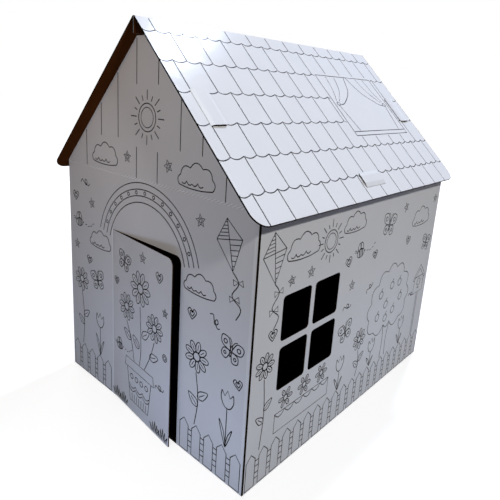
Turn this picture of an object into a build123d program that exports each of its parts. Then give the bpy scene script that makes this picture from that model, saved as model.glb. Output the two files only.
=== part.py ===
from build123d import *

import os
from math import cos, radians, sin, tan

# Cardboard playhouse, folded from die-cut sheets of single-wall corrugated board.
# X runs across the front, Y from the front to the back, Z up, and the origin is
# the middle of the footprint on the floor.

# Driving dimensions, millimetres and degrees
board = 3.0
house_width = 720.0
house_length = 905.0
eave_height = 642.0
roof_pitch = 45.0
gable_overhang = 34.0
eave_overhang = 31.0
eave_corner = 37.0
peak_cut = 34.0
ridge_crease = 1.6
fold_radius = 1.0
glue_flap = 38.0
glue_flap_bevel = 22.0
score_width = 3.0
score_depth = 0.8
tab_length = 98.0
gable_tab_reach = 46.0
eave_tab_reach = 39.0
tab_corner = 9.0
tab_root = 12.0
tab_lift = 0.8
tab_crush = 0.8
tab_ramp = 8.0
tab_tip = 1.0
tab_press = 10.0
door_width = 276.0
door_height = 491.5
door_corner = 18.0
door_ajar = 5.0
pane_width = 105.0
pane_height = 106.5
pane_corner = 9.5
window_bar = 15.6
window_setback = 207.0
window_middle = 332.0

# Clearances
seat = 0.2
glue_line = 0.2
slit_clear = 0.3
door_kerf = 1.0
door_foot = 1.5
crease_gap = 0.4

# The roof underside falls from the ridge through the top of each side wall.
half_width = house_width / 2
half_length = house_length / 2
rise = tan(radians(roof_pitch))
fall = sin(radians(roof_pitch))
run = cos(radians(roof_pitch))
gable_peak = eave_height + half_width * rise
gable_top = gable_peak - peak_cut
ridge_height = gable_peak + seat
slope_to_wall = half_width / run
slope_length = slope_to_wall + eave_overhang
roof_length = house_length + 2 * gable_overhang
tab_middle = slope_to_wall / 2

# Down the slope is X, along the ridge is Y and out of the roof is Z.
right_slope = Plane(origin=(0, 0, ridge_height), x_dir=(run, 0, -fall), z_dir=(fall, 0, run))

# Lock tab of the front wall, bent flat over the right roof panel.
# The section looks down the slope: X points into the house, Y out of the roof.
# The board is crushed along the fold and pressed thin towards the free end.
fold_height = board + seat
press_fall = board - tab_tip
tab_base = right_slope.from_local_coords(Vector(tab_middle, -half_length, 0))
gable_tab_plane = Plane(origin=tab_base, x_dir=(0, 1, 0), z_dir=(run, 0, -fall))
gable_fold = Vector(board, fold_height)
gable_flat = [
    Vector(tab_ramp, board),
    Vector(gable_tab_reach, board),
    Vector(gable_tab_reach, 0),
]
gable_press = [
    Vector(gable_tab_reach - tab_press, board),
    Vector(gable_tab_reach + tab_press, board - 2 * press_fall),
    Vector(gable_tab_reach + tab_press, board),
]
with BuildPart() as gable_tab:
    with BuildSketch(gable_tab_plane):
        Polygon(
            (0, -tab_root),
            (0, fold_height + tab_crush),
            *[gable_fold + point.rotate(Axis.Z, tab_lift) for point in gable_flat],
            gable_fold,
            (board, -tab_root),
            align=None,
        )
    extrude(amount=tab_length / 2, both=True)
    free_end = gable_tab.faces().sort_by(Axis.Y)[-1]
    fillet(free_end.edges().sort_by(SortBy.LENGTH)[:2], radius=tab_corner)
    with BuildSketch(gable_tab_plane):
        Polygon(
            *[gable_fold + point.rotate(Axis.Z, tab_lift) for point in gable_press],
            align=None,
        )
    extrude(amount=tab_length / 2, both=True, mode=Mode.SUBTRACT)

# Lock tab of the left wall, bent up the left roof panel.
# The section looks along the wall: X points up the slope, Y out of the roof.
eave_tab_plane = Plane(
    origin=(-half_width, 0, eave_height + seat),
    x_dir=(run, 0, fall),
    z_dir=(0, -1, 0),
)
eave_fold = Vector(fold_height * rise + board / run, fold_height)
eave_flat = [
    Vector(tab_ramp, board),
    Vector(eave_tab_reach, board),
    Vector(eave_tab_reach, 0),
]
eave_press = [
    Vector(eave_tab_reach - tab_press, board),
    Vector(eave_tab_reach + tab_press, board - 2 * press_fall),
    Vector(eave_tab_reach + tab_press, board),
]
with BuildPart() as eave_tab:
    with BuildSketch(eave_tab_plane):
        Polygon(
            (-tab_root * fall, -tab_root * run),
            ((fold_height + tab_crush) * rise, fold_height + tab_crush),
            *[eave_fold + point.rotate(Axis.Z, tab_lift) for point in eave_flat],
            eave_fold,
            (board * run - tab_root * fall, -board * fall - tab_root * run),
            align=None,
        )
    extrude(amount=tab_length / 2, both=True)
    free_end = eave_tab.faces().sort_by(Axis.X)[-1]
    fillet(free_end.edges().sort_by(SortBy.LENGTH)[:2], radius=tab_corner)
    with BuildSketch(eave_tab_plane):
        Polygon(
            *[eave_fold + point.rotate(Axis.Z, tab_lift) for point in eave_press],
            align=None,
        )
    extrude(amount=tab_length / 2, both=True, mode=Mode.SUBTRACT)

# One wall blank is a gable wall, a side wall and a glue flap, folded from one sheet.
# Two of them, turned half a turn to each other, make the four walls.
flap_inside = half_length - 2 * board - glue_line
flap_end = glue_flap - half_width
with BuildPart() as wall_blank:
    with BuildSketch():
        with BuildLine():
            FilletPolyline(
                (flap_end, flap_inside),
                (board - half_width, flap_inside),
                (board - half_width, board - half_length),
                (half_width, board - half_length),
                radius=fold_radius,
            )
            offset(amount=board, side=Side.RIGHT)
        make_face()
    extrude(amount=gable_top)

    # The gable's sloping edges and its flat top, where the roof's ridge seam rests
    with BuildSketch(Plane.XZ):
        Polygon(
            (-half_width, 0),
            (half_width, 0),
            (half_width, eave_height),
            (peak_cut / rise, gable_top),
            (-peak_cut / rise, gable_top),
            (-half_width, eave_height),
            align=None,
        )
    extrude(amount=house_length, both=True, mode=Mode.INTERSECT)

    # The side wall and its flap are cut square at the eave.
    with BuildSketch(Plane.XY.offset(eave_height)):
        with Locations((-half_width, board + fold_radius - half_length)):
            Rectangle(house_width, house_length, align=Align.MIN)
    extrude(amount=gable_top, mode=Mode.SUBTRACT)
    flap_ends = wall_blank.edges().filter_by(Axis.Y).filter_by_position(
        Axis.X, flap_end - seat, flap_end + seat
    )
    chamfer(flap_ends, length=glue_flap_bevel)

    # Scored line across the gable at the eave
    with BuildSketch(Plane.YZ):
        Polygon(
            (-half_length, eave_height - score_width / 2),
            (score_depth - half_length, eave_height),
            (-half_length, eave_height + score_width / 2),
            align=None,
        )
    extrude(amount=half_width, both=True, mode=Mode.SUBTRACT)

    add(gable_tab.part)
    mirror(gable_tab.part, about=Plane.YZ)
    add(eave_tab.part)

# Front gable wall with its doorway, and the left side wall
door_left = -door_width / 2
with BuildPart() as front_left_wall:
    add(wall_blank.part)
    with BuildSketch(Plane.XZ.offset(half_length)) as doorway:
        with Locations((door_left, 0)):
            Rectangle(door_width, door_height, align=Align.MIN)
        fillet(doorway.vertices().group_by(Axis.Y)[-1].sort_by(Axis.X)[-1], radius=door_corner)
    extrude(amount=-board, mode=Mode.SUBTRACT)
    hinge_edge = front_left_wall.edges().filter_by(Axis.Z).filter_by_position(
        Axis.X, door_left - seat, door_left + seat
    )
    chamfer(hinge_edge.sort_by(Axis.Y)[0], length=score_depth)
front_left_wall.part.label = "front_left_wall"

# Right side wall with its window, and the back gable wall
window_plane = Plane(
    origin=(half_width, window_setback - half_length, window_middle),
    x_dir=(0, 1, 0),
    z_dir=(1, 0, 0),
)
with BuildPart() as right_back_wall:
    add(wall_blank.part, rotation=(0, 0, 180))
    with BuildSketch(window_plane):
        with GridLocations(pane_width + window_bar, pane_height + window_bar, 2, 2):
            RectangleRounded(pane_width, pane_height, pane_corner)
    extrude(amount=-board, mode=Mode.SUBTRACT)
right_back_wall.part.label = "right_back_wall"

# Door leaf, left ajar on its scored hinge line
door_angle = radians(door_ajar)
door_plane = Plane(
    origin=(door_left, -half_length, 0),
    x_dir=(cos(door_angle), -sin(door_angle), 0),
    z_dir=(-sin(door_angle), -cos(door_angle), 0),
)
with BuildPart() as door:
    with BuildSketch(door_plane) as leaf:
        with Locations((crease_gap, door_foot)):
            Rectangle(
                door_width - door_kerf - crease_gap,
                door_height - door_kerf - door_foot,
                align=Align.MIN,
            )
        fillet(leaf.vertices().group_by(Axis.Y)[-1].sort_by(Axis.X)[-1], radius=door_corner - door_kerf)
    extrude(amount=-board)
    leaf_edges = door.edges().filter_by(Axis.Z).sort_by(Axis.X)[:2]
    chamfer(leaf_edges.sort_by(Axis.Y)[0], length=score_depth)
door.part.label = "door"

# Roof panel with a flange folded down at the ridge, glued to the other panel's flange
flange_outside = glue_line / 2
flange_inside = flange_outside + board
eave_foot = ridge_height - slope_length * fall
with BuildPart() as roof_right:
    with BuildSketch(Plane.XZ) as roof_section:
        Polygon(
            (slope_length * run, eave_foot),
            (flange_inside, ridge_height - flange_inside * rise),
            (flange_inside, gable_top + seat),
            (flange_outside, gable_top + seat),
            (flange_outside, ridge_height + board / run - flange_outside * rise),
            (slope_length * run + board * fall, eave_foot + board * run),
            align=None,
        )
        fillet(roof_section.vertices().sort_by(Axis.Y)[-1], radius=ridge_crease)
    extrude(amount=roof_length / 2, both=True)
    eave_ends = roof_right.edges().filter_by(Axis((0, 0, 0), (fall, 0, run)))
    fillet(eave_ends, radius=eave_corner)

    # Slits that the gables' lock tabs pass through, square to the panel
    slit_length = tab_length + 2 * slit_clear
    slit_width = board + 2 * slit_clear
    with BuildSketch(right_slope):
        with Locations((tab_middle, board / 2 - half_length), (tab_middle, half_length - board / 2)):
            Rectangle(slit_length, slit_width)
    extrude(amount=board, mode=Mode.SUBTRACT)

    # Slit that the side wall's lock tab passes through, upright like the wall
    with BuildSketch(Plane.XY.offset(eave_foot)):
        with Locations((half_width - board / 2, 0)):
            Rectangle(slit_width, slit_length)
    extrude(amount=slope_length * fall / 2, mode=Mode.SUBTRACT)
roof_right.part.label = "roof_right"

with BuildPart() as roof_left:
    mirror(roof_right.part, about=Plane.YZ)
roof_left.part.label = "roof_left"

os.makedirs("parts", exist_ok=True)
for piece in (front_left_wall, right_back_wall, door, roof_right, roof_left):
    export_step(piece.part, f"parts/{piece.part.label}.step")
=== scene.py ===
# %% [markdown]
# # A cardboard playhouse to colour in
# The house is five sheets of corrugated board, folded, glued and locked with tabs. The
# sheets come from the CAD frame and stay as they are. This script dresses them: it gives the
# board its white and brown faces, prints the outline drawings on it and sets up a studio.

import math

import bpy
from mathutils import Matrix, Vector


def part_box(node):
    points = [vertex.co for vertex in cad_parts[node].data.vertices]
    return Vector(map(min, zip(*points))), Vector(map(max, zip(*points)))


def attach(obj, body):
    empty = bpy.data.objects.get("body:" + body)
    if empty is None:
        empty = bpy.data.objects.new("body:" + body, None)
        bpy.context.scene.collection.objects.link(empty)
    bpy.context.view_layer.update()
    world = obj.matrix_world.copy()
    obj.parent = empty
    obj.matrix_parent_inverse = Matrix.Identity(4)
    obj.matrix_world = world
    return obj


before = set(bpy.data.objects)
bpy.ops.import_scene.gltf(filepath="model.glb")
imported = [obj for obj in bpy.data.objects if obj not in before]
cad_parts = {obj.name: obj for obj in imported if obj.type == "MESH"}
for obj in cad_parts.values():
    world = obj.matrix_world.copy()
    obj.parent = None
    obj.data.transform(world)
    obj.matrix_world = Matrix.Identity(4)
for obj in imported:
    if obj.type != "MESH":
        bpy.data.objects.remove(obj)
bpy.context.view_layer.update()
bpy.ops.object.select_all(action="DESELECT")
print("sheets:", sorted(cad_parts))

# %% [markdown]
# ## Sizes taken from the sheets
# The print and the finishes need to know where each panel lies. The outlines are read from the
# sheets' own corners, so that the drawing stays on the board. The thickness of the board, the
# pitch, the roof's play and the height of the eaves have no corner of their own and are typed.

# %% Measure the panels
BOARD = 0.003
PITCH = math.radians(45)
SEAT = 0.0002
EAVE_HEIGHT = 0.642

wall_low, wall_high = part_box("front_left_wall")
half_width = -wall_low.x
half_length = -wall_low.y
gable_top = wall_high.z
roof_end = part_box("roof_right")[1].y
roof_rise = math.sin(PITCH)
roof_apex = EAVE_HEIGHT + half_width * math.tan(PITCH) + SEAT
print("walls", round(2 * half_width, 4), "by", round(2 * half_length, 4))
print("roof underside meets at", round(roof_apex, 4))

# %% [markdown]
# ## Nodes by hand, with less typing
# A board finish is a chain of small sums on a point's place. These helpers add one node each
# and hand back its output, so a finish reads from top to bottom like a list of sums.

# %% Node helpers
def join(tree, socket, value):
    """Links an output to a socket, or writes a plain value on it."""
    if isinstance(value, bpy.types.NodeSocket):
        tree.links.new(value, socket)
    else:
        socket.default_value = value


def sums(tree, operation, first, second=0.0):
    """One sum on one or two values."""
    step = tree.nodes.new("ShaderNodeMath")
    step.operation = operation
    join(tree, step.inputs[0], first)
    join(tree, step.inputs[1], second)
    return step.outputs[0]


def times(tree, first, second):
    return sums(tree, "MULTIPLY", first, second)


def minus(tree, first, second):
    return sums(tree, "SUBTRACT", first, second)


def distance(tree, value):
    """How far a value is from zero, on either side."""
    return sums(tree, "ABSOLUTE", value)


def added(tree, *values):
    result = values[0]
    for value in values[1:]:
        result = sums(tree, "ADD", result, value)
    return result


def over(tree, value, limit):
    """A mask that is set where the value is over the limit."""
    return sums(tree, "GREATER_THAN", value, limit)


def under(tree, value, limit):
    """A mask that is set where the value is under the limit."""
    return sums(tree, "LESS_THAN", value, limit)


def inverse(tree, mask):
    return minus(tree, 1.0, mask)


def both(tree, *masks):
    """A mask that is set where every one of the masks is."""
    result = masks[0]
    for mask in masks[1:]:
        result = times(tree, result, mask)
    return result


def either(tree, *masks):
    """A mask that is set where one of the masks is."""
    result = masks[0]
    for mask in masks[1:]:
        result = sums(tree, "MAXIMUM", result, mask)
    return result


def spread(tree, value, low, high):
    """Takes a value onto a range: 0 goes to low and 1 goes to high."""
    return added(tree, times(tree, value, high - low), low)


# A mix node has sockets for every kind of data. These are the ones for colours.
MIX_SHARE = 0
MIX_FIRST = 6
MIX_SECOND = 7
MIX_RESULT = 2


def mixed(tree, share, first, second):
    """A colour that goes from the first to the second as share goes from 0 to 1."""
    mix = tree.nodes.new("ShaderNodeMix")
    mix.data_type = "RGBA"
    join(tree, mix.inputs[MIX_SHARE], share)
    join(tree, mix.inputs[MIX_FIRST], first)
    join(tree, mix.inputs[MIX_SECOND], second)
    return mix.outputs[MIX_RESULT]


def noise(tree, place, scale, detail=3.0, roughness=0.55):
    texture = tree.nodes.new("ShaderNodeTexNoise")
    join(tree, texture.inputs["Vector"], place)
    texture.inputs["Scale"].default_value = scale
    texture.inputs["Detail"].default_value = detail
    texture.inputs["Roughness"].default_value = roughness
    return texture.outputs["Fac"]


def stretched(tree, place, scale):
    mapping = tree.nodes.new("ShaderNodeMapping")
    join(tree, mapping.inputs["Vector"], place)
    mapping.inputs["Scale"].default_value = scale
    return mapping.outputs["Vector"]


def new_group(name, inputs, outputs):
    """An empty node group with its named sockets: the group, its inputs, its outputs."""
    group = bpy.data.node_groups.new(name, "ShaderNodeTree")
    for label, kind in inputs:
        group.interface.new_socket(label, in_out="INPUT", socket_type=kind)
    for label, kind in outputs:
        group.interface.new_socket(label, in_out="OUTPUT", socket_type=kind)
    entry = group.nodes.new("NodeGroupInput")
    leave = group.nodes.new("NodeGroupOutput")
    return group, entry.outputs, leave.inputs


def use_group(tree, group, **values):
    """Places a group in a tree, with its inputs set, and returns its outputs."""
    placed = tree.nodes.new("ShaderNodeGroup")
    placed.node_tree = group
    for label, value in values.items():
        join(tree, placed.inputs[label], value)
    return placed.outputs


NUMBER = "NodeSocketFloat"
COLOUR = "NodeSocketColor"
VECTOR = "NodeSocketVector"
print("node helpers ready")

# %% [markdown]
# ## What paper does everywhere
# Both liners of the board are paper laid over a wavy core. Two effects therefore belong to
# every sheet: the core shows through as faint ribs, and the paper has clouds and fibres.
# Each is a node group, so that one change here reaches all the finishes.

# %% Group: ribs of the core
FLUTE_PITCH = 0.0066
RIB_MEAN = 0.5
RIB_CREST = 1.0

ribs, entry, leave = new_group("core_ribs", [("Across", NUMBER)], [("Rib", NUMBER)])
turns = times(ribs, entry["Across"], 2 * math.pi / FLUTE_PITCH)
wave = sums(ribs, "SINE", turns)
join(ribs, leave["Rib"], spread(ribs, wave, RIB_MEAN, RIB_CREST))
print("core ribs every", FLUTE_PITCH * 1000, "mm")

# %% Group: clouds and fibres of paper
CLOUD_SCALE = 11.0
CLOUD_DETAIL = 4.0
FIBRE_STRETCH = (1.0, 1.0, 0.22)
FIBRE_SCALE = 900.0
FIBRE_DETAIL = 2.0
FIBRE_GRAIN = 0.7

fibre, entry, leave = new_group(
    "paper_fibre", [("Place", VECTOR)], [("Cloud", NUMBER), ("Fleck", NUMBER)]
)
join(fibre, leave["Cloud"], noise(fibre, entry["Place"], CLOUD_SCALE, CLOUD_DETAIL))
fibre_place = stretched(fibre, entry["Place"], FIBRE_STRETCH)
flecks = noise(fibre, fibre_place, FIBRE_SCALE, FIBRE_DETAIL, FIBRE_GRAIN)
join(fibre, leave["Fleck"], flecks)
print("paper fibre group made")

# %% [markdown]
# ## White liner, brown liner and cut edge
# The outside is a bleached liner with a thin coating, the inside is plain brown kraft, and
# a die-cut edge shows the hollows of the core between two thin liners. The edge is painted
# near black and its hollows darker still, painted shade for the shadow in the hollows and on
# edges that turn from the light. They could be three materials on split meshes, but the
# sheets are single solids. So each is a group that gives a colour, a roughness and a height,
# and a mask chooses between them.

# %% Group: white liner
SKIN_INPUTS = [("Place", VECTOR), ("Rib", NUMBER)]
SKIN_OUTPUTS = [("Color", COLOUR), ("Roughness", NUMBER), ("Height", NUMBER)]
WHITE = (0.81, 0.82, 0.845, 1)
WHITE_WORN = (0.71, 0.72, 0.75, 1)
CLOUD_TONE = (-0.10, 0.36)
RIB_TONE = 0.10
COATED = (0.16, 0.21)
RIB_HEIGHT = 0.00004
FLECK_HEIGHT = 0.00002
BUCKLE_HEIGHT = 0.0011

white_liner, entry, leave = new_group("white_liner", SKIN_INPUTS, SKIN_OUTPUTS)
paper = use_group(white_liner, fibre, Place=entry["Place"])
tone = spread(white_liner, paper["Cloud"], *CLOUD_TONE)
faint_rib = times(white_liner, entry["Rib"], RIB_TONE)
worn = added(white_liner, tone, faint_rib)
join(white_liner, leave["Color"], mixed(white_liner, worn, WHITE, WHITE_WORN))
join(white_liner, leave["Roughness"], spread(white_liner, paper["Cloud"], *COATED))
rib_height = times(white_liner, entry["Rib"], RIB_HEIGHT)
fleck_height = times(white_liner, paper["Fleck"], FLECK_HEIGHT)
buckle = times(white_liner, paper["Cloud"], BUCKLE_HEIGHT)
join(white_liner, leave["Height"], added(white_liner, rib_height, fleck_height, buckle))
print("white liner group made")

# %% Group: brown liner
KRAFT = (0.100, 0.031, 0.008, 1)
KRAFT_DARK = (0.052, 0.015, 0.003, 1)
KRAFT_RIB_TONE = 0.28
KRAFT_FLECK_TONE = (-0.25, 0.75)
KRAFT_CLOUD_TONE = (-0.2, 0.6)
UNCOATED = (0.86, 0.98)
KRAFT_RIB_HEIGHT = 0.00010
KRAFT_FLECK_HEIGHT = 0.00006

brown_liner, entry, leave = new_group("brown_liner", SKIN_INPUTS, SKIN_OUTPUTS)
paper = use_group(brown_liner, fibre, Place=entry["Place"])
rib_share = times(brown_liner, entry["Rib"], KRAFT_RIB_TONE)
fleck_share = spread(brown_liner, paper["Fleck"], *KRAFT_FLECK_TONE)
cloud_share = spread(brown_liner, paper["Cloud"], *KRAFT_CLOUD_TONE)
shade = added(brown_liner, rib_share, fleck_share, cloud_share)
join(brown_liner, leave["Color"], mixed(brown_liner, shade, KRAFT, KRAFT_DARK))
join(brown_liner, leave["Roughness"], spread(brown_liner, paper["Fleck"], *UNCOATED))
rib_height = times(brown_liner, entry["Rib"], KRAFT_RIB_HEIGHT)
fleck_height = times(brown_liner, paper["Fleck"], KRAFT_FLECK_HEIGHT)
join(brown_liner, leave["Height"], added(brown_liner, rib_height, fleck_height))
print("brown liner group made")

# %% Group: cut edge
SHADED_EDGE_PAPER = (0.030, 0.015, 0.007, 1)
SHADED_EDGE_HOLLOW = (0.004, 0.003, 0.002, 1)
RAG_SCALE = 420.0
RAG_SHARE = (-0.3, 0.5)
TORN = (0.8, 0.98)
HOLLOW_HEIGHT = -0.0006

cut_edge, entry, leave = new_group("cut_edge", SKIN_INPUTS, SKIN_OUTPUTS)
ragged = noise(cut_edge, entry["Place"], RAG_SCALE)
hollow = added(cut_edge, entry["Rib"], spread(cut_edge, ragged, *RAG_SHARE))
# Painted shade: the edge's paper is near black and its hollows darker still.
join(cut_edge, leave["Color"], mixed(cut_edge, hollow, SHADED_EDGE_PAPER, SHADED_EDGE_HOLLOW))
join(cut_edge, leave["Roughness"], spread(cut_edge, ragged, *TORN))
join(cut_edge, leave["Height"], times(cut_edge, hollow, HOLLOW_HEIGHT))
print("cut edge group made")

# %% [markdown]
# ## One board finish from three groups
# Every sheet asks the same three questions: how far across the ribs is this point, is it on
# the white face, and is it on the brown face? What is on neither is a cut edge. This helper
# turns the answers into a material, and each sheet below only supplies them.

# %% Build a board material
BOARD_SHINE = 0.018


def start_board(name):
    """An empty material with a Principled shader: the material, its tree and its shader."""
    material = bpy.data.materials.new(name)
    material.use_nodes = True
    tree = material.node_tree
    shader = tree.nodes["Principled BSDF"]
    shader.inputs["Specular IOR Level"].default_value = BOARD_SHINE
    return material, tree, shader


def read_surface(tree):
    """A point's place, its parts x, y and z, and the parts of the way its face looks."""
    coordinates = tree.nodes.new("ShaderNodeTexCoord")
    place = tree.nodes.new("ShaderNodeSeparateXYZ")
    facing = tree.nodes.new("ShaderNodeSeparateXYZ")
    tree.links.new(coordinates.outputs["Object"], place.inputs[0])
    tree.links.new(coordinates.outputs["Normal"], facing.inputs[0])
    return coordinates.outputs["Object"], place.outputs, facing.outputs


# Painted highlight and painted shade, mixed into the white skin by the marks below.
PAINTED_HIGHLIGHT = (0.92, 0.935, 0.97, 1)
PAINTED_SHADE = (0.30, 0.29, 0.29, 1)


def finish_board(tree, shader, place, across, white, brown, light=None, dark=None, dent=None):
    """Chooses white, brown or cut edge by the masks and feeds the shader; light and dark mix painted
    highlight and painted shade into the white skin.
    """
    rib = use_group(tree, ribs, Across=across)["Rib"]
    outer = use_group(tree, white_liner, Place=place, Rib=rib)
    inner = use_group(tree, brown_liner, Place=place, Rib=rib)
    edge = use_group(tree, cut_edge, Place=place, Rib=rib)
    skin = outer["Color"]
    if light is not None:
        skin = mixed(tree, light, skin, PAINTED_HIGHLIGHT)
    if dark is not None:
        skin = mixed(tree, dark, skin, PAINTED_SHADE)
    colour = mixed(tree, white, mixed(tree, brown, edge["Color"], inner["Color"]), skin)
    tree.links.new(colour, shader.inputs["Base Color"])
    cut = inverse(tree, either(tree, white, brown))
    results = {}
    for label in ("Roughness", "Height"):
        results[label] = added(
            tree,
            times(tree, outer[label], white),
            times(tree, inner[label], brown),
            times(tree, edge[label], cut),
        )
    tree.links.new(results["Roughness"], shader.inputs["Roughness"])
    height = results["Height"]
    if dent is not None:
        height = added(tree, height, dent)
    bump = tree.nodes.new("ShaderNodeBump")
    bump.inputs["Strength"].default_value = 1.0
    bump.inputs["Distance"].default_value = 1.0
    tree.links.new(height, bump.inputs["Height"])
    tree.links.new(bump.outputs["Normal"], shader.inputs["Normal"])


print("board finish helper ready")

# %% [markdown]
# ## Wall board
# A wall is white where it looks away from the house and brown where it looks in, and the
# glue flaps are brown on the inside too. The lock tabs are white on top. The crease at the
# eaves is a row of slanted nicks with a painted highlight on each and a faint painted shade
# between them, and a painted highlight runs down the door's hinge line. Beside a glued corner
# a narrow strip leans round the fold. Along the sharp fold of a glue flap the white skin is
# left off, a dark line of painted shade for the groove at the corner. The fold of a gable's
# lock tab has a painted highlight, and a thin strip of painted shade lies along the lower end
# of the tab's top, beside its cut edge.

# %% Material: wall board
FACE_MIN = 0.2
FACE_DEPTH = 0.0041
FLAP_DEPTH = 0.0066
FOLD_STRIP = 0.011
FOLD_LEAN = 0.20
TAB_LEVEL = 0.62
TAB_FACE = 0.3
CORNER_SHADE_SIDE = 0.0052
CORNER_SHADE_FRONT = 0.0021

wall_board, tree, shader = start_board("wall_board")
place, at, facing = read_surface(tree)
far_x = distance(tree, at["X"])
far_y = distance(tree, at["Y"])
out_x = times(tree, facing["X"], sums(tree, "SIGN", at["X"]))
out_y = times(tree, facing["Y"], sums(tree, "SIGN", at["Y"]))
on_gable = over(tree, far_y, half_length - FACE_DEPTH)
on_flap = over(tree, far_y, half_length - FLAP_DEPTH)
near_side = over(tree, far_x, half_width - FACE_DEPTH)
behind_gable = under(tree, far_y, half_length - BOARD)
on_side = both(tree, near_side, behind_gable)
on_tab = over(tree, at["Z"], TAB_LEVEL)


def wall_faces(test, sign, by_gable):
    """A mask for the faces of walls and tabs that look out of the house, or into it."""
    least = sign * FACE_MIN
    least_tab = sign * TAB_FACE
    return either(
        tree,
        both(tree, by_gable, test(tree, out_y, least)),
        both(tree, on_side, test(tree, out_x, least)),
        both(tree, on_tab, test(tree, facing["Z"], least_tab), test(tree, out_x, least_tab)),
    )


white = wall_faces(over, 1, on_gable)
brown = wall_faces(under, -1, on_flap)
glued_corner = under(tree, times(tree, at["X"], at["Y"]), 0.0)
# Painted shade: along a glued corner's fold the white is left off, so the dark cut edge colour stands
# in for the shadow in the groove.
corner_shade = either(
    tree,
    both(tree, on_side, over(tree, far_y, half_length - CORNER_SHADE_SIDE)),
    both(tree, on_gable, over(tree, far_x, half_width - CORNER_SHADE_FRONT)),
)
white = both(tree, white, inverse(tree, both(tree, corner_shade, glued_corner)))
by_fold = minus(tree, far_x, half_width - FOLD_STRIP)
lean = times(tree, sums(tree, "MAXIMUM", by_fold, 0.0), -FOLD_LEAN)
lean = both(tree, lean, on_gable, glued_corner)
print("wall faces told apart")

# %% Marks on the wall board: painted highlight and shade at the eave crease, hinge line and tabs
NICK_PITCH = 0.0120
NICK_SLANT = 1.8
NICK_HALF_HEIGHT = 0.0036
NICK_HIGHLIGHT_PHASE = 0.1
NICK_SHADE_PHASE = -0.3
HIGHLIGHT_SHARE = 0.85
NICK_SHADE_SHARE = 0.12
HINGE_X = -0.138
HINGE_HALF = 0.0024
HINGE_TOP = 0.4915
TAB_LENGTH = 0.098
TAB_REACH = 0.060
TAB_TILT = 0.05
TAB_END_SHADE = 0.0014
tab_foot = half_width / math.cos(PITCH) / 2 + TAB_LENGTH / 2

from_crease = minus(tree, at["Z"], EAVE_HEIGHT)
in_crease = under(tree, distance(tree, from_crease), NICK_HALF_HEIGHT)
in_crease = both(tree, in_crease, on_gable)
slant = minus(tree, at["X"], times(tree, from_crease, NICK_SLANT))
nick = sums(tree, "SINE", times(tree, slant, 2 * math.pi / NICK_PITCH))
# Painted highlight on one side of each nick, painted shade on the other.
nick_highlight = both(tree, in_crease, over(tree, nick, NICK_HIGHLIGHT_PHASE))
nick_shade = both(tree, in_crease, under(tree, nick, NICK_SHADE_PHASE))
from_hinge = distance(tree, minus(tree, at["X"], HINGE_X))
# A painted highlight along the door's hinge line.
hinge_highlight = both(
    tree,
    under(tree, from_hinge, HINGE_HALF),
    under(tree, at["Z"], HINGE_TOP),
    under(tree, at["Y"], FACE_DEPTH - half_length),
)
from_apex = minus(tree, at["Z"], roof_apex)
level = times(tree, added(tree, far_x, from_apex), roof_rise)
down = times(tree, minus(tree, far_x, from_apex), roof_rise)
above_roof = over(tree, level, BOARD)
on_gable_tab = both(tree, above_roof, over(tree, far_y, half_length - TAB_REACH))
tab_top = both(tree, on_gable_tab, over(tree, facing["Z"], TAB_FACE))
# Painted highlight: the tab's fold where it looks out of the gable is made light.
fold_highlight = both(tree, on_gable_tab, over(tree, out_y, TAB_TILT))
# Painted shade: a thin strip of the tab's top at its lower end loses its white, for the shadowed cut
# edge beside it.
foot = over(tree, down, tab_foot - TAB_END_SHADE)
white = both(tree, white, inverse(tree, both(tree, tab_top, foot)))
# The painted highlights of the nicks, the hinge line and the tab fold, and the painted shade of the
# nicks.
painted_highlights = times(tree, either(tree, nick_highlight, hinge_highlight), HIGHLIGHT_SHARE)
light = either(tree, painted_highlights, fold_highlight)
dark = times(tree, nick_shade, NICK_SHADE_SHARE)
across = added(tree, at["X"], at["Y"])
finish_board(tree, shader, place, across, white, brown, light, dark, lean)
for sheet in ("front_left_wall", "right_back_wall"):
    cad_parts[sheet].material_slots[0].material = wall_board
print("wall board on both wall sheets")

# %% [markdown]
# ## Roof board
# The roof sheets are white on the slope that looks up and brown underneath, with the ridge
# flange brown where it shows. The way a face looks and how high it lies above the underside
# tell the faces apart. The ribs run down the slope, so they are counted along the house.
# At the ridge the two flanges lie white skin to white skin, which shows as a light line. Along
# the rim of a roof sheet a thin dark line of painted shade stands in for the cut edge in shadow.

# %% Material: roof board
SKIN = 0.0004
ROOF_FACE = 0.25
END_FACE = 0.5
RIM_SHADE_WIDTH = 0.0011
EAVE_CORNER = 0.037

roof_board, tree, shader = start_board("roof_board")
place, at, facing = read_surface(tree)
far_x = distance(tree, at["X"])
level = added(tree, far_x, minus(tree, at["Z"], roof_apex))
level = times(tree, level, roof_rise)
white = either(
    tree,
    over(tree, facing["Z"], ROOF_FACE),
    over(tree, level, BOARD - SKIN),
)
seam = under(tree, far_x, SKIN)
eave_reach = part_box("roof_right")[1].x / math.cos(PITCH)
down = times(tree, far_x, 1 / math.cos(PITCH))
past_eave = minus(tree, down, eave_reach - EAVE_CORNER)
past_end = minus(tree, distance(tree, at["Y"]), roof_end - EAVE_CORNER)
round_eave = sums(tree, "POWER", sums(tree, "MAXIMUM", past_eave, 0.0), 2.0)
round_end = sums(tree, "POWER", sums(tree, "MAXIMUM", past_end, 0.0), 2.0)
to_rim = sums(tree, "SQRT", added(tree, round_eave, round_end))
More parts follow.
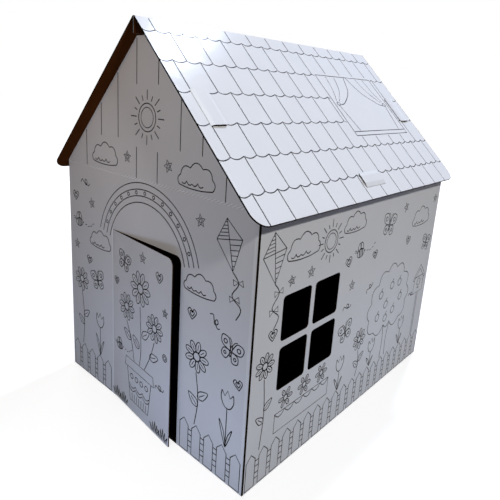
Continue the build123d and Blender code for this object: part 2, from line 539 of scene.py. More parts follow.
# Painted shade: a thin strip along the rim of each roof sheet loses its white and takes the dark cut
# edge colour.
rim_shade = over(tree, to_rim, EAVE_CORNER - RIM_SHADE_WIDTH)
white = either(tree, seam, both(tree, white, inverse(tree, rim_shade)))
flat_end = under(tree, distance(tree, facing["Y"]), END_FACE)
below = under(tree, level, SKIN)
brown = both(tree, below, flat_end, inverse(tree, white))
finish_board(tree, shader, place, at["Y"], white, brown)
for sheet in ("roof_right", "roof_left"):
    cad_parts[sheet].material_slots[0].material = roof_board
print("roof board on both roof sheets")

# %% [markdown]
# ## Door board
# The leaf hangs a little open, so its faces look along a turned direction. Measuring the way
# a face looks along that direction keeps the right side white. The place and the normal are
# the leaf's own, so the finish stays put when the door swings. Near its crease the leaf bows,
# which a slow rise in the height shows well enough.

# %% Material: door board
DOOR_AJAR = math.radians(5.0)
LEAF_FACE = 0.5
BOW_REACH = 0.18
BOW_LEAN = 0.22
door_out = Vector((-math.sin(DOOR_AJAR), -math.cos(DOOR_AJAR), 0))

door_board, tree, shader = start_board("door_board")
place, at, facing = read_surface(tree)
look = added(
    tree,
    times(tree, facing["X"], door_out.x),
    times(tree, facing["Y"], door_out.y),
)
white = over(tree, look, LEAF_FACE)
brown = under(tree, look, -LEAF_FACE)
from_hinge = minus(tree, at["X"], HINGE_X)
# A painted highlight along the hinge crease of the leaf.
hinge_highlight = times(tree, under(tree, from_hinge, HINGE_HALF), HIGHLIGHT_SHARE)
curved = sums(tree, "MINIMUM", from_hinge, BOW_REACH)
eased = times(tree, sums(tree, "POWER", curved, 2.0), -0.5 / BOW_REACH)
bow = times(tree, added(tree, curved, eased), BOW_LEAN)
finish_board(tree, shader, place, at["X"], white, brown, light=hinge_highlight, dent=bow)
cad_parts["door"].material_slots[0].material = door_board
print("door board on the leaf")

# %% [markdown]
# ## Ink
# The drawings are one pass of black ink. On coated board it sits as a thin even film with a
# little mottle where the paper took less ink.

# %% Material: black ink
INK = (0.004, 0.004, 0.005, 1)
INK_THIN = (0.020, 0.020, 0.022, 1)
INK_SHINE = 0.06
INK_FILM = (0.18, 0.26)

black_ink, tree, shader = start_board("black_ink")
place = tree.nodes.new("ShaderNodeTexCoord").outputs["Object"]
paper = use_group(tree, fibre, Place=place)
thin = times(tree, paper["Fleck"], paper["Cloud"])
tree.links.new(mixed(tree, thin, INK, INK_THIN), shader.inputs["Base Color"])
tree.links.new(spread(tree, paper["Fleck"], *INK_FILM), shader.inputs["Roughness"])
shader.inputs["Specular IOR Level"].default_value = INK_SHINE
print("black ink made")

# %% [markdown]
# ## Drawing with a flat nib
# Printed outlines could be painted in a material, but a drawn line is easier to place and
# keeps sharp at any distance as a thin film of its own. A drawing here is a list of strokes
# in millimetres on a flat sheet. A curve follows each stroke, a small rectangle swept along
# it is the nib, and the curve is then made a mesh and laid on its panel.

# %% Strokes
MM = 0.001
LINE = 2.5
FINE = 0.8
HAIR = 0.7


def stroke(points, closed=False, weight=1.0):
    """A drawing of one line through the points."""
    return [([(float(x), float(y)) for x, y in points], closed, weight)]


def bend(p, q, r, s, t):
    """One coordinate of the smooth curve from q to r, t of the way along."""
    curved = 2 * p - 5 * q + 4 * r - s
    twisted = 3 * q - p - 3 * r + s
    return 0.5 * (2 * q + (r - p) * t + curved * t * t + twisted * t**3)


def curve_through(points, closed=False, steps=5, weight=1.0):
    """A smooth stroke through the points."""
    count = len(points)
    spans = count if closed else count - 1
    smooth = []
    for i in range(spans):
        if closed:
            a, b, c, d = (points[(i + k) % count] for k in (-1, 0, 1, 2))
        else:
            a, b, c, d = (points[min(max(i + k, 0), count - 1)] for k in (-1, 0, 1, 2))
        for j in range(steps):
            smooth.append(tuple(bend(*near, j / steps) for near in zip(a, b, c, d)))
    if not closed:
        smooth.append(tuple(points[-1]))
    return stroke(smooth, closed, weight)


def around(radius, angle, x=0.0, y=0.0):
    """The point of a circle that lies at an angle in degrees."""
    turn = math.radians(angle)
    return x + radius * math.cos(turn), y + radius * math.sin(turn)


def arc(x, y, radius, start, end, steps):
    """Part of a circle, from the start to the end angle in degrees."""
    angles = [start + (end - start) * i / steps for i in range(steps + 1)]
    return stroke([around(radius, angle, x, y) for angle in angles])


def ring(x, y, radius, squash=1.0, turn=0.0, steps=18, weight=1.0):
    """A circle, or an oval where it is squashed, that leans by the turn."""
    points = []
    lean = math.radians(turn)
    for i in range(steps):
        angle = 2 * math.pi * i / steps
        along = radius * math.cos(angle)
        up = radius * squash * math.sin(angle)
        right = x + along * math.cos(lean) - up * math.sin(lean)
        points.append((right, y + along * math.sin(lean) + up * math.cos(lean)))
    return stroke(points, True, weight)


def scallops(points, bulge, closed=True, steps=6):
    """Arcs that swell to the left of each leg from point to point, like a cloud's rim."""
    rim = []
    count = len(points)
    for i in range(count if closed else count - 1):
        (ax, ay), (bx, by) = points[i], points[(i + 1) % count]
        for j in range(steps):
            t = j / steps
            swell = 4 * bulge * t * (1 - t)
            x = ax + (bx - ax) * t - (by - ay) * swell
            y = ay + (by - ay) * t + (bx - ax) * swell
            rim.append((x, y))
    if not closed:
        rim.append(points[-1])
    return stroke(rim, closed)


def moved(strokes, x=0.0, y=0.0, size=1.0, turn=0.0, flip=False):
    """A copy of a drawing at another place, size and turn."""
    cos, sin = math.cos(math.radians(turn)), math.sin(math.radians(turn))
    side = -1 if flip else 1
    result = []
    for points, closed, weight in strokes:
        copied = []
        for px, py in points:
            px, py = side * px * size, py * size
            copied.append((x + px * cos - py * sin, y + px * sin + py * cos))
        result.append((copied, closed, weight))
    return result


def mirrored(strokes):
    """A drawing with its mirror image beside it."""
    return strokes + moved(strokes, flip=True)


print("stroke helpers ready, line", LINE, "mm")

# %% Print a drawing on a panel
INK_PROUD = 0.00015


def print_on(name, strokes, origin, right, up, body):
    """Sweeps the nib along the strokes, makes a mesh and lays it on a panel."""
    bpy.ops.object.select_all(action="DESELECT")
    nib_line = bpy.data.curves.new("nib", "CURVE")
    corner = nib_line.splines.new("POLY")
    corner.points.add(3)
    half = LINE * MM / 2
    corners = [(-half, -INK_PROUD), (half, -INK_PROUD), (half, INK_PROUD), (-half, INK_PROUD)]
    for point, (x, y) in zip(corner.points, corners):
        point.co = (x, y, 0, 1)
    corner.use_cyclic_u = True
    nib = bpy.data.objects.new("nib", nib_line)
    lines = bpy.data.curves.new(name, "CURVE")
    lines.dimensions = "3D"
    lines.twist_mode = "Z_UP"
    lines.bevel_mode = "OBJECT"
    lines.bevel_object = nib
    lines.use_fill_caps = True
    for points, closed, weight in strokes:
        spline = lines.splines.new("POLY")
        spline.points.add(len(points) - 1)
        for point, (x, y) in zip(spline.points, points):
            point.co = (x * MM, y * MM, 0, 1)
            point.radius = weight
        spline.use_cyclic_u = closed
    piece = bpy.data.objects.new(name, lines)
    bpy.context.scene.collection.objects.link(piece)
    piece.select_set(True)
    bpy.context.view_layer.objects.active = piece
    bpy.ops.object.convert(target="MESH")
    right, up = Vector(right).normalized(), Vector(up).normalized()
    axes = Matrix((right, up, right.cross(up))).transposed().to_4x4()
    piece.matrix_world = Matrix.Translation(Vector(origin)) @ axes
    bpy.ops.object.transform_apply(location=True, rotation=True, scale=True)
    bpy.ops.object.mode_set(mode="EDIT")
    bpy.ops.mesh.select_all(action="SELECT")
    bpy.ops.mesh.normals_make_consistent(inside=False)
    bpy.ops.object.mode_set(mode="OBJECT")
    bpy.data.objects.remove(nib)
    piece.data.materials.clear()
    piece.data.materials.append(black_ink)
    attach(piece, body)
    print(name, len(strokes), "strokes,", len(piece.data.polygons), "faces")


print("ink stands", INK_PROUD / MM, "mm proud")

# %% [markdown]
# ## Shingles
# The roof print is the common one of wooden shingles: rows about 85 mm apart, each with a
# rim of shallow lobes, and joints staggered by half a shingle from row to row. One loop draws
# a row, and leaves room for the roof window.

# %% Draw the shingles
ROW_EDGES = [41.5, 127, 212.5, 298, 383.5, 469]
SHINGLE = 78.3
FIRST_JOINT = -450.5
LOBE = 6.5
LOBE_SKEW = 0.8
EAVE_EDGE = 542
RIDGE_FOLD = 6
RIM_ROOM = 1.5
ROOF_WINDOW = (75, 391, 128, 351)
WINDOW_ROOM = 3
SILL_ROOM = 1
LOBE_STEPS = 8
HALF_SHINGLES = 28
JOINT_STEPS = 12
JOINTS = range(-2, 14)
roof_margin = roof_end / MM - RIM_ROOM


def in_window(along, down):
    left, right_side, top, bottom = ROOF_WINDOW
    if not left - WINDOW_ROOM < along < right_side + WINDOW_ROOM:
        return False
    return top - WINDOW_ROOM < down < bottom + SILL_ROOM


def cut_up(points, hidden):
    """Splits a run of points into the pieces that nothing covers."""
    runs, run = [], []
    for point in points:
        if hidden(*point):
            runs.append(run)
            run = []
        else:
            run.append(point)
    runs.append(run)
    return [r for r in runs if len(r) > 1]


def lobed_rim(down):
    """The rim of a row: a lobe hangs between every two half joints."""
    points = []
    half = SHINGLE / 2
    first = math.floor((-roof_margin - FIRST_JOINT) / half) - 1
    for k in range(first, first + HALF_SHINGLES):
        start = FIRST_JOINT + k * half
        for j in range(LOBE_STEPS):
            t = j / LOBE_STEPS
            along = min(max(start + t * half, -roof_margin), roof_margin)
            point = (along, down + LOBE * math.sin(math.pi * t**LOBE_SKEW))
            if not points or along > points[-1][0]:
                points.append(point)
    return points


def shingles():
    """All rims and joints of one slope, across and down from the ridge."""
    drawing = []
    for down in ROW_EDGES:
        for run in cut_up(lobed_rim(down), in_window):
            drawing += stroke([(x, -y) for x, y in run])
    tops = [RIDGE_FOLD] + ROW_EDGES
    ends = ROW_EDGES + [EAVE_EDGE]
    for row, (top, end) in enumerate(zip(tops, ends)):
        shift = 0 if (len(tops) - 1 - row) % 2 == 0 else SHINGLE / 2
        for k in JOINTS:
            along = FIRST_JOINT + shift + k * SHINGLE
            if abs(along) > roof_margin:
                continue
            steps = range(JOINT_STEPS + 1)
            joint = [(along, top + (end - top) * i / JOINT_STEPS) for i in steps]
            for run in cut_up(joint, in_window):
                drawing += stroke([(run[0][0], -run[0][1]), (run[-1][0], -run[-1][1])])
    return drawing


slope_print = shingles()
print("shingle strokes:", len(slope_print))

# %% [markdown]
# ## Roof window
# The shingles leave room for a printed window with a bold frame and a sill. Behind it hang
# two tied curtains.

# %% Draw the roof window
SILL = 14
SILL_INSET = 2
FRAME_WEIGHT = 1.35


def roof_window():
    left, right_side, top, bottom = ROOF_WINDOW
    top, bottom = -top, -bottom
    corners = [(left, top), (right_side, top), (right_side, bottom), (left, bottom)]
    drawing = stroke(corners, True, FRAME_WEIGHT)
    sill = bottom + SILL
    drawing += stroke([(left + SILL_INSET, sill), (right_side - SILL_INSET, sill)])
    curtain = curve_through([(-6, -2), (-40, -62), (-100, -104), (-128, -112)])
    curtain += curve_through([(-140, -114), (-132, -150), (-120, -206)])
    curtain += ring(-138, -108, 8, 0.7)
    curtain += curve_through([(-62, -4), (-84, -56), (-124, -98)], weight=FINE)
    curtain += curve_through([(-108, -4), (-118, -54), (-138, -96)], weight=FINE)
    middle = (left + right_side) / 2
    return drawing + moved(mirrored(curtain), middle, top)


slope_print += roof_window()
print("with the window:", len(slope_print))

# %% [markdown]
# ## The garden the walls show
# The walls carry outline pictures to colour in: a garden with flowers, trees and a fence.
# Each plant or thing is drawn once, around its own zero, and copied with its place and size.

# %% Flowers and leaves
DAISY_NECK = -33
TULIP_NECK = -20


def leaf_shape(length=34, wide=9):
    rim = [(0, 0), (length * 0.35, wide), (length, 0), (length * 0.35, -wide)]
    return curve_through(rim, True) + stroke([(4, 0), (length * 0.7, 0)], weight=FINE)


def daisy(petals=9, stem=95, sway=8):
    drawing = ring(0, 0, 9)
    for k in range(petals):
        angle = 360 * k / petals
        drawing += ring(*around(21, angle), 11.5, 0.56, angle, 14)
        drawing += stroke([around(14, angle), around(26, angle)], weight=HAIR)
    if stem > 0:
        middle, foot = DAISY_NECK - stem / 2, DAISY_NECK - stem
        drawing += curve_through([(0, DAISY_NECK), (sway, middle), (0, foot)])
        drawing += moved(leaf_shape(), sway * 0.9, DAISY_NECK - stem * 0.45, turn=38)
        drawing += moved(leaf_shape(), sway * 0.9, DAISY_NECK - stem * 0.62, turn=142)
    return drawing


def tulip(stem=90):
    cup = [(-17, 20), (-19, 2), (-11, -15), (0, -20), (11, -15), (19, 2), (17, 20)]
    drawing = curve_through(cup)
    drawing += stroke([(-17, 20), (-8, 8), (0, 24), (8, 8), (17, 20)])
    foot = TULIP_NECK - stem
    drawing += stroke([(0, TULIP_NECK), (0, foot)])
    high = min(62, 0.72 * stem)
    blade = curve_through([(0, 0), (-13, high * 0.5), (-22, high), (-7, high * 0.6)], True)
    return drawing + moved(blade, 0, foot) + moved(blade, 0, foot, 0.82, flip=True)


def tuft():
    blades = []
    for foot, tip, high in ((-12, -22, 18), (-6, -9, 26), (0, 1, 32), (6, 10, 25), (12, 21, 17)):
        blades += curve_through([(foot - 3, 0), (tip - 1, high), (foot + 3, 0)], steps=4)
    return blades


print("flowers drawn")

# %% Sky
RAYS = 16
STAR_CORNERS = 10
STAR_INSET = 0.45
KITE_STRIPES = 6
STRIPE_WEIGHT = 1.5


def cloud():
    rim = [(48, 0), (46, 22), (20, 38), (-16, 36), (-44, 20), (-48, 0)]
    drawing = scallops(rim, -0.30, False) + curve_through([(-48, 0), (-20, -4), (18, -4), (48, 0)])
    shade = [(-40, 5), (-26, 9), (-10, 5), (6, 9), (22, 5)]
    return drawing + scallops(shade, -0.3, False, 5)


def sun():
    drawing = ring(0, 0, 32, steps=28) + ring(0, 0, 23, steps=20, weight=FINE)
    for k in range(RAYS):
        angle = 360 * k / RAYS
        far = 62 if k % 2 == 0 else 52
        drawing += stroke([around(40, angle), around(far, angle)])
    return drawing


def kite():
    drawing = stroke([(0, 58), (38, 12), (0, -58), (-38, 12)], True)
    drawing += stroke([(0, 58), (0, -58)], weight=FINE)
    drawing += stroke([(-38, 12), (38, 12)], weight=FINE)
    for k in range(1, KITE_STRIPES):
        wide = 38 * k / KITE_STRIPES
        high = 58 - 46 * k / KITE_STRIPES
        low = 70 * k / KITE_STRIPES - 58
        drawing += stroke([(-wide, high), (0, high)], weight=HAIR)
        drawing += stroke([(0, low), (wide, low)], weight=HAIR)
    drawing += curve_through([(0, -58), (14, -84), (-10, -112), (12, -140), (-6, -166)])
    bow_tie = mirrored(stroke([(0, 0), (-14, 7), (-14, -7)], True))
    return drawing + moved(bow_tie, 13, -82) + moved(bow_tie, -4, -120)


def butterfly():
    wing = curve_through([(3, 5), (13, 26), (32, 24), (28, 5), (4, 0)], True)
    wing += curve_through([(3, -1), (21, -3), (24, -19), (10, -24), (3, -9)], True)
    wing += ring(20, 14, 5) + ring(15, -12, 3.5)
    wing += curve_through([(1, 14), (5, 24), (12, 29)], weight=FINE)
    return ring(0, 0, 14, 0.2, 90) + mirrored(wing)


def star(radius=15):
    rim = []
    for k in range(STAR_CORNERS):
        far = radius if k % 2 == 0 else radius * STAR_INSET
        rim.append(around(far, 90 + 360 * k / STAR_CORNERS))
    return stroke(rim, True) + moved(stroke(rim, True, FINE), size=STAR_INSET)


def heart(size=14):
    half = [(0, -size), (size * 0.75, -size * 0.2), (size, size * 0.45), (size * 0.5, size * 0.85)]
    drawing = mirrored(curve_through(half + [(0, size * 0.35)]))
    return drawing + moved(drawing, size=0.5)


def bee():
    drawing = ring(0, 0, 16, 0.66) + stroke([(16, 0), (22, 0)])
    for x, high in ((-6, 9.5), (1, 10.5), (8, 8.5)):
        drawing += stroke([(x, -high), (x, high)], weight=STRIPE_WEIGHT)
    drawing += ring(-5, 17, 10, 0.6, 62) + ring(6, 17, 10, 0.6, 112)
    for feeler in (8, 13):
        drawing += curve_through([(-14, 4), (-19, feeler), (-26, feeler + 1)], weight=FINE)
    for x, y in ((32, -5), (44, -9), (56, -7), (67, -1)):
        drawing += stroke([(x - 4, y), (x + 4, y + 1)], weight=FINE)
    return drawing


def curl():
    twist = [(-20, 6), (-10, 12), (-3, 2), (4, -8), (12, 0), (6, 8), (2, 0), (14, -12), (22, -8)]
    return curve_through(twist)


print("sky drawn")

# %% Garden things
RAILS = (22, 36, 54, 68)
PICKET_FOOT = 3
PICKET_POINT = 16
PERCH_WEIGHT = 1.6
APPLES = [(-70, 40), (-22, 70), (34, 36), (78, 70), (-62, 112), (8, 126), (60, 124), (-14, 22)]


def fence(left, right_side, high=92, board=30, gap=12):
    """Pickets between two places, with two rails seen in the gaps."""
    count = int((right_side - left + gap) // (board + gap))
    spare = (right_side - left) - count * board - (count - 1) * gap
    step = board + gap + spare / (count - 1)
    drawing = []
    for k in range(count):
        x = left + k * step
        far = x + board
        neck = high - PICKET_POINT
        picket = [(x, PICKET_FOOT), (x, neck), (x + board / 2, high), (far, neck), (far, PICKET_FOOT)]
        drawing += stroke(picket, True)
        if k < count - 1:
            for rail in RAILS:
                drawing += stroke([(far, rail), (x + step, rail)])
    return drawing


def apple_tree(trunk=130):
    drawing = curve_through([(-16, 0), (-12, trunk * 0.5), (-20, trunk)])
    drawing += curve_through([(16, 0), (12, trunk * 0.5), (22, trunk)])
    crown = [
        (-20, 0), (-84, -6), (-122, 44), (-118, 100), (-84, 150), (-30, 180),
        (30, 182), (86, 152), (120, 100), (122, 44), (86, -6), (22, 0),
    ]
    drawing += moved(scallops(crown, 0.34, True), 0, trunk)
    apple = ring(0, 0, 12) + curve_through([(0, 11), (2, 17), (7, 21)])
    for x, y in APPLES:
        drawing += moved(apple, x, y + trunk)
    return drawing


def bird_box(pole=190):
    drawing = stroke([(-5, 0), (-5, pole)]) + stroke([(5, 0), (5, pole)])
    box = stroke([(-38, 0), (38, 0), (38, 62), (0, 62), (-38, 62)], True)
    box += stroke([(-52, 56), (0, 108), (52, 56), (42, 50), (0, 92), (-42, 50)], True)
    box += ring(0, 40, 14) + stroke([(-8, 18), (8, 18)], weight=PERCH_WEIGHT)
    return drawing + moved(box, 0, pole)


def flower_box(wide=230):
    half = wide / 2
    drawing = stroke([(-half, 0), (half, 0), (half, 52), (-half, 52)], True)
    trim = [(-half + wide * k / 6, 52) for k in range(7)]
    drawing += scallops(trim, -0.34, False)
    for k in range(3):
        drawing += moved(daisy(6, 0), -half + wide * (k + 0.5) / 3, 82, 0.82)
    return drawing


def flower_pot():
    drawing = stroke([(-58, 96), (-44, 0), (44, 0), (58, 96)])
    drawing += stroke([(-70, 96), (70, 96), (66, 122), (-66, 122)], True)
    drawing += scallops([(-51, 50), (-17, 50), (17, 50), (51, 50)], -0.3, False)
    drawing += scallops([(-50, 40), (-17, 40), (17, 40), (50, 40)], -0.3, False)
    for x in (-33, -22, -11, 0, 11, 22, 33):
        drawing += stroke([(x, 3), (x * 1.05, 24)], weight=FINE)
    for x in (-36, -12, 12, 36):
        drawing += ring(x, 74, 7)
    return drawing


print("garden drawn")

# %% [markdown]
# ## Gable planks
# Above the crease both gables are printed as upright planks. The lines stop short of the
# pictures that lie on them, as a printer leaves room round a motif.

# %% Draw the planks
PLANKS = [-258, -185, -110, -34, 46, 124, 194, 266]
PLANK_TOP_ROOM = 5
PLANK_FOOT_ROOM = 2.5
PLANK_STEPS = 60


def planks(gaps):
    """Upright lines from the crease to the roof, broken round the gaps (x, y, wide, high)."""

    def covered(px, py):
        return any(abs(px - x) < wide and abs(py - y) < high for x, y, wide, high in gaps)

    drawing = []
    foot = EAVE_HEIGHT / MM + PLANK_FOOT_ROOM
    for x in PLANKS:
        top = min(EAVE_HEIGHT + half_width - abs(x) * MM, gable_top) / MM - PLANK_TOP_ROOM
        steps = range(PLANK_STEPS + 1)
        line = [(x, foot + (top - foot) * k / PLANK_STEPS) for k in steps]
        for run in cut_up(line, covered):
            drawing += stroke([run[0], run[-1]])
    return drawing


print("planks:", len(PLANKS))

# %% [markdown]
# ## Print on the front
# A sun is in the gable, an arch of colour bands over the doorway ends in two clouds, and
# flowers stand behind a fence on both sides of the door.

# %% Draw and print the front wall
UPRIGHT = (0, 0, 1)
ARCH_FOOT = 434
ARCH_LINES = (154, 170, 186, 202)
ARCH_ENDS = (14, 166)
ARCH_STEPS = 30
BEAD_BAND = 178
BEAD_RADIUS = 4
BEAD_ANGLES = range(24, 157, 11)


def lay_out(motifs):
    """Copies motifs to their places: motif, x, y, then size and turn where they aren't plain."""
    drawing = []
    for motif, x, y, *more in motifs:
        drawing += moved(motif, x, y, *more)
    return drawing


front_print = planks([(6, 790, 70, 70), (-172, 680, 72, 50), (176, 676, 72, 50)])
front_print += lay_out([
    (sun(), 6, 790),
    (cloud(), -172, 662, 1.1),
    (cloud(), 176, 658, 1.1),
    (star(), -72, 690),
    (star(), 85, 690, 1.0, 20),
    (cloud(), -200, 424, 0.98),
    (cloud(), 200, 424, 0.98),
    (daisy(stem=156), -300, 300, 1.1),
    (tulip(88), -205, 200),
    (butterfly(), -214, 322, 1.0, 15),
    (star(), -322, 404),
    (bee(), -306, 472, 1.1, 8),
    (heart(), -322, 548),
    (curl(), -272, 592, 1.0, 20),
    (star(), -238, 540, 1.0, 15),
    (heart(), -256, 372, 0.9, -12),
    (kite(), 285, 560, 0.95, 12),
    (daisy(stem=115), 200, 270, 1.2),
    (tulip(98), 302, 210),
    (butterfly(), 304, 330, 1.0, -12),
    (star(), 196, 590, 1.0, 10),
    (heart(), 180, 370),
    (curl(), 252, 380, 0.9, -20),
    (heart(), 330, 262, 0.9, 15),
])
for radius in ARCH_LINES:
    front_print += arc(0, ARCH_FOOT, radius, *ARCH_ENDS, ARCH_STEPS)
for angle in BEAD_ANGLES:
    front_print += ring(*around(BEAD_BAND, angle, 0, ARCH_FOOT), BEAD_RADIUS, steps=10)
front_print += fence(-350, -150) + fence(150, 350)
print_on("print_front", front_print, (0, -half_length, 0), (1, 0, 0), UPRIGHT, "house")

# %% [markdown]
# ## Print on the door
# The leaf has a pot of tall flowers and a knob. Its drawing is laid on the leaf's own turned
# plane and rides on the door, so it swings with it.

# %% Draw and print the door
POT_RIM = 158
STEM_MIDDLE = 210
STEM_SWAY = 6
POT_NECK = 34
POT_FLOWERS = [(112, 74, 300, 1.15), (138, 140, 372, 1.4), (162, 206, 292, 1.1)]

door_print = moved(flower_pot(), 136, 34)
for foot, x, y, size in POT_FLOWERS:
    door_print += moved(daisy(10, 0), x, y, size)
    middle = ((x + foot) / 2 + STEM_SWAY, STEM_MIDDLE)
    door_print += curve_through([(x, y - POT_NECK * size), middle, (foot, POT_RIM)])
broad_leaf = leaf_shape(40, 11)
knob = ring(0, 0, 9) + ring(0, 0, 4.5)
door_print += lay_out([
    (broad_leaf, 96, 214, 1.0, 150),
    (broad_leaf, 150, 246, 1.0, 35),
    (broad_leaf, 186, 205, 1.0, 20),
    (broad_leaf, 136, 206, 1.0, 140),
    (butterfly(), 62, 420, 0.9, -14),
    (heart(), 224, 430),
    (knob, 252, 235),
    (tuft(), 22, 6),
    (tuft(), 58, 6),
    (tuft(), 214, 6),
    (tuft(), 250, 6),
    (curl(), 230, 140, 0.9, 40),
    (bee(), 38, 170, 0.9, 12),
    (star(), 150, 456),
    (star(12), 250, 350),
    (heart(11), 22, 356),
])
leaf_right = (math.cos(DOOR_AJAR), -math.sin(DOOR_AJAR), 0)
leaf_origin = (HINGE_X, -half_length, 0)
print_on("print_door", door_print, leaf_origin, leaf_right, UPRIGHT, "door")

# %% [markdown]
# ## Print on the right wall
# The side with the window gets a flower box under it, an apple tree, a kite and clouds.

# %% Draw and print the right wall
right_print = fence(-444, 444) + lay_out([
    (flower_box(), -245, 106, 0.96),
    (daisy(stem=186), -404, 300, 0.95),
    (heart(), -386, 366),
    (kite(), -398, 540, 0.98, 6),
    (cloud(), -298, 524, 1.15),
    (star(), -334, 476, 0.9, 12),
    (star(), -262, 478),
    (sun(), -190, 536, 0.85),
    (cloud(), -84, 544),
    (bee(), -40, 474, 1.1, 10),
    (heart(), -96, 462, 1.0, 14),
    (star(), -66, 392),
    (curl(), -80, 334, 0.9, 30),
    (butterfly(), -72, 262, 1.0, 14),
    (tulip(58), -80, 170),
    (daisy(stem=84), 14, 209),
    (apple_tree(118), 176, 92, 0.95),
    (tulip(46), 96, 158),
    (tulip(54), 290, 166),
    (butterfly(), 108, 524, 1.15, -10),
    (bird_box(170), 388, 92, 0.9),
    (cloud(), 326, 492, 1.15),
    (butterfly(), 396, 416, 0.95, -14),
    (star(), 206, 560, 1.0, 18),
    (heart(), 252, 452, 1.0, -15),
    (curl(), 36, 356, 0.9, 60),
    (star(), 420, 560),
    (heart(), 44, 452, 0.9, 12),
    (curl(), 336, 250, 0.8, 20),
])
print_on("print_right", right_print, (half_width, 0, 0), (0, 1, 0), UPRIGHT, "house")

# %% [markdown]
# ## Print on the left and the back
# The photo doesn't show these sides. They carry the same kind of picture, kept simpler: the
# fence goes on round the house, with trees, flowers and clouds.

# %% Draw and print the left wall
left_print = fence(-444, 444) + lay_out([
    (apple_tree(118), -240, 92),
    (tulip(60), -380, 172),
    (tulip(48), -120, 160),
    (bird_box(170), 0, 92),
    (daisy(stem=150), 120, 290, 1.2),
    (tulip(70), 210, 182),
    (daisy(stem=110), 300, 240, 1.1),
    (tulip(56), 394, 168),
    (cloud(), -60, 500, 1.3),
    (cloud(), 320, 500, 1.2),
    (sun(), 130, 500),
    (butterfly(), 220, 370, 1.0, 15),
    (butterfly(), -60, 416, 0.9, -15),
    (star(), -380, 520, 1.0, 10),
    (heart(), -250, 510),
    (curl(), 390, 400, 1.0, 30),
    (star(), 40, 400),
    (heart(), 350, 330),
])
print_on("print_left", left_print, (-half_width, 0, 0), (0, -1, 0), UPRIGHT, "house")

# %% Draw and print the back wall
back_print = planks([(0, 776, 76, 44)]) + fence(-350, 350) + lay_out([
    (cloud(), 0, 752, 1.3),
    (apple_tree(118), 206, 92, 0.95),
    (daisy(stem=170), -270, 320, 1.2),
    (tulip(80), -180, 192),
    (daisy(stem=110), -90, 240, 1.1),
    (tulip(60), 0, 172),
    (cloud(), -220, 520, 1.2),
    (cloud(), 70, 540, 1.1),
    (sun(), 260, 540, 0.85),
    (butterfly(), -110, 400, 1.0, 12),
    (heart(), -20, 450),
    (star(), -310, 460, 1.0, 10),
    (curl(), 10, 320, 1.0, 30),
])
print_on("print_back", back_print, (0, half_length, 0), (-1, 0, 0), UPRIGHT, "house")

# %% [markdown]
# ## Print on the roof
# Both slopes are the same printed sheet, one turned half round. The drawing is measured from
# the ridge down, so it hangs from the outer edge of the ridge on each side.

# %% Print both slopes
ridge_lift = BOARD / math.cos(PITCH)
ridge = (0, 0, roof_apex + ridge_lift)
for name, side in (("print_roof_right", 1), ("print_roof_left", -1)):
    up_slope = (-side * math.cos(PITCH), 0, math.sin(PITCH))
    print_on(name, slope_print, ridge, (0, side, 0), up_slope, "house")

# %% [markdown]
# ## Studio
# A lamp from the upper right lights the side and draws the crisp shadow under the eaves. A
# lamp above and behind lights the roof most and puts a sheen by the front of the ridge. Two
# weak bluish lamps near the floor stand for the light a pale floor throws back. Two weak ones
# in front fill the gable, warm on the left and cool on the right, and a wide one fills the left
# side. The camera sees the floor white with a soft shadow. Inside the house the floor is
# painted nearly black, painted shade for the dark inside of the house.

# %% Floor
FLOOR_SIZE = 40
FLOOR_LEVEL = -0.0005
FLOOR_GLOW = 0.74
FAR_GLOW = 1.0
FLOOR_TONE = (0.42, 0.42, 0.42, 1)
INDOOR_SHADE_TONE = (0.03, 0.03, 0.03, 1)
BOUNCE_TONE = (0.075, 0.065, 0.06, 1)
FADE_START = 0.9
FADE_END = 2.6


def seen_rays(tree):
    """A mask for the rays that show something: straight, in a mirror or through glass."""
    rays = tree.nodes.new("ShaderNodeLightPath").outputs
    return either(tree, rays["Is Camera Ray"], rays["Is Glossy Ray"], rays["Is Transmission Ray"])


bpy.ops.object.select_all(action="DESELECT")
bpy.ops.mesh.primitive_plane_add(size=FLOOR_SIZE, location=(0, 0, FLOOR_LEVEL))
floor = bpy.context.active_object
floor.name = "studio_floor"
floor_paint = bpy.data.materials.new("studio_floor")
floor_paint.use_nodes = True
tree = floor_paint.node_tree
tree.nodes.clear()
place, at = read_surface(tree)[:2]
indoors = both(
    tree,
    under(tree, distance(tree, at["X"]), half_width),
    under(tree, distance(tree, at["Y"]), half_length),
)
seen = seen_rays(tree)
outdoors = inverse(tree, indoors)
away = tree.nodes.new("ShaderNodeVectorMath")
away.operation = "LENGTH"
tree.links.new(place, away.inputs[0])
fade = tree.nodes.new("ShaderNodeMapRange")
fade.interpolation_type = "SMOOTHSTEP"
tree.links.new(away.outputs["Value"], fade.inputs["Value"])
fade.inputs["From Min"].default_value = FADE_START
fade.inputs["From Max"].default_value = FADE_END
fade.inputs["To Min"].default_value = FLOOR_GLOW
fade.inputs["To Max"].default_value = FAR_GLOW
glow = tree.nodes.new("ShaderNodeEmission")
tree.links.new(both(tree, fade.outputs["Result"], outdoors), glow.inputs["Strength"])
matt = tree.nodes.new("ShaderNodeBsdfDiffuse")
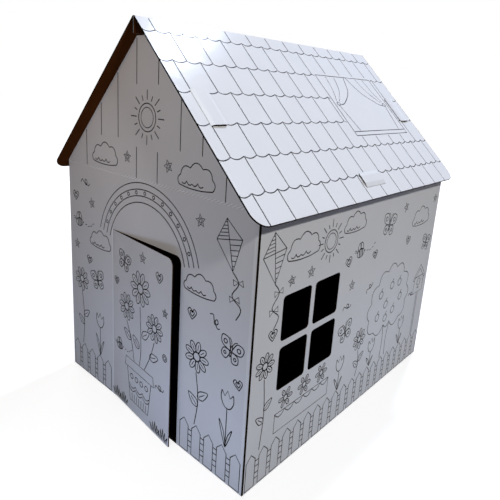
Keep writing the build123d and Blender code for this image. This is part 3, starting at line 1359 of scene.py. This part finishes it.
# Inside the house the floor is painted nearly black: painted shade for the dark inside.
tree.links.new(mixed(tree, indoors, FLOOR_TONE, INDOOR_SHADE_TONE), matt.inputs["Color"])
bounce = tree.nodes.new("ShaderNodeBsdfDiffuse")
tree.links.new(mixed(tree, indoors, BOUNCE_TONE, INDOOR_SHADE_TONE), bounce.inputs["Color"])
shown = tree.nodes.new("ShaderNodeAddShader")
choose = tree.nodes.new("ShaderNodeMixShader")
output = tree.nodes.new("ShaderNodeOutputMaterial")
tree.links.new(glow.outputs[0], shown.inputs[0])
tree.links.new(matt.outputs[0], shown.inputs[1])
tree.links.new(seen, choose.inputs[0])
tree.links.new(bounce.outputs[0], choose.inputs[1])
tree.links.new(shown.outputs[0], choose.inputs[2])
tree.links.new(choose.outputs[0], output.inputs["Surface"])
floor.data.materials.append(floor_paint)
print("floor laid")

# %% World
WORLD_LEVEL = 0.052
WORLD_TINT = (1.0, 0.81, 0.65, 1)
SEEN_LEVEL = 1.0
SEEN_TINT = (1, 1, 1, 1)

world = bpy.data.worlds.new("studio_world")
bpy.context.scene.world = world
world.use_nodes = True
tree = world.node_tree
background = tree.nodes["Background"]
seen = seen_rays(tree)
tree.links.new(mixed(tree, seen, WORLD_TINT, SEEN_TINT), background.inputs["Color"])
tree.links.new(spread(tree, seen, WORLD_LEVEL, SEEN_LEVEL), background.inputs["Strength"])
print("world level", WORLD_LEVEL)

# %% Lamps
DAYLIGHT = (1.0, 0.988, 0.945)
COOL = (0.70, 0.785, 1.0)
FLOOR_BLUE = (0.61, 0.725, 1.0)
ROOM_WARM = (1.0, 0.71, 0.51)
ROOM_COOL = (0.82, 0.93, 1.0)
LAMP_AIM = Vector((0, 0, 0.5))


def soft_lamp(name, way, reach, size, power, tint, wide):
    """A lamp that lies the given way from the middle of the house and looks at it."""
    away = Vector(way).normalized()
    bpy.ops.object.select_all(action="DESELECT")
    bpy.ops.object.light_add(type="AREA", location=LAMP_AIM + away * reach)
    lamp = bpy.context.active_object
    lamp.name = name
    lamp.data.shape = "RECTANGLE"
    lamp.data.size = size * wide
    lamp.data.size_y = size
    lamp.data.energy = power
    lamp.data.color = tint
    lamp.rotation_euler = (-away).to_track_quat("-Z", "Y").to_euler()
    print(name, power, "W")


LAMPS = [
    # name, way, reach, size, power, tint and how many times as wide as high
    ("side_lamp", (0.74, -0.235, 0.645), 4.4, 0.30, 79, DAYLIGHT, 1.0),
    ("back_lamp", (-0.094, 0.567, 0.819), 6.0, 0.55, 366, COOL, 1.0),
    ("low_front_lamp", (0.20, -0.86, -0.445), 0.989, 0.1, 1.15, FLOOR_BLUE, 9.0),
    ("low_right_lamp", (0.80, 0.05, -0.40), 0.896, 0.12, 0.65, FLOOR_BLUE, 7.0),
    ("high_left_lamp", (-0.05, -1.10, 0.45), 1.19, 0.4, 0.72, ROOM_WARM, 1.0),
    ("high_right_lamp", (0.30, -1.10, 0.45), 1.226, 0.4, 0.81, ROOM_COOL, 1.0),
    ("left_lamp", (-1.0, 0.1, 0.5), 3.0, 2.0, 30, DAYLIGHT, 1.0),
]
for lamp_values in LAMPS:
    soft_lamp(*lamp_values)

# %% [markdown]
# ## Camera
# The photo was taken close by from the front right corner, a little above the eaves, with the
# camera slightly tilted. Its place and lens were found by fitting the corners of the house to
# their places in the picture. The picture is a cut-out, so its middle is off the lens axis.

# %% Camera
CAMERA_PLACE = (0.9121, -1.1263, 0.8667)
CAMERA_TURN = math.radians(42.252)
CAMERA_DIP = math.radians(14.138)
CAMERA_ROLL = math.radians(3.302)
SENSOR = 36
LENS = 34.65
SHIFT = (0.0245, -0.0812)

ahead = Vector(
    (
        -math.sin(CAMERA_TURN) * math.cos(CAMERA_DIP),
        math.cos(CAMERA_TURN) * math.cos(CAMERA_DIP),
        -math.sin(CAMERA_DIP),
    )
)
level_right = Vector((math.cos(CAMERA_TURN), math.sin(CAMERA_TURN), 0))
level_up = level_right.cross(ahead)
right = level_right * math.cos(CAMERA_ROLL) + level_up * math.sin(CAMERA_ROLL)
up = level_up * math.cos(CAMERA_ROLL) - level_right * math.sin(CAMERA_ROLL)
bpy.ops.object.camera_add(location=CAMERA_PLACE)
camera = bpy.context.active_object
camera.matrix_world = Matrix.Translation(Vector(CAMERA_PLACE)) @ Matrix(
    (right, up, -ahead)
).transposed().to_4x4()
camera.data.sensor_width = SENSOR
camera.data.lens = LENS
camera.data.shift_x, camera.data.shift_y = SHIFT
bpy.context.scene.camera = camera
bpy.context.scene.view_settings.view_transform = "Standard"
print("camera", CAMERA_PLACE, "lens", LENS)
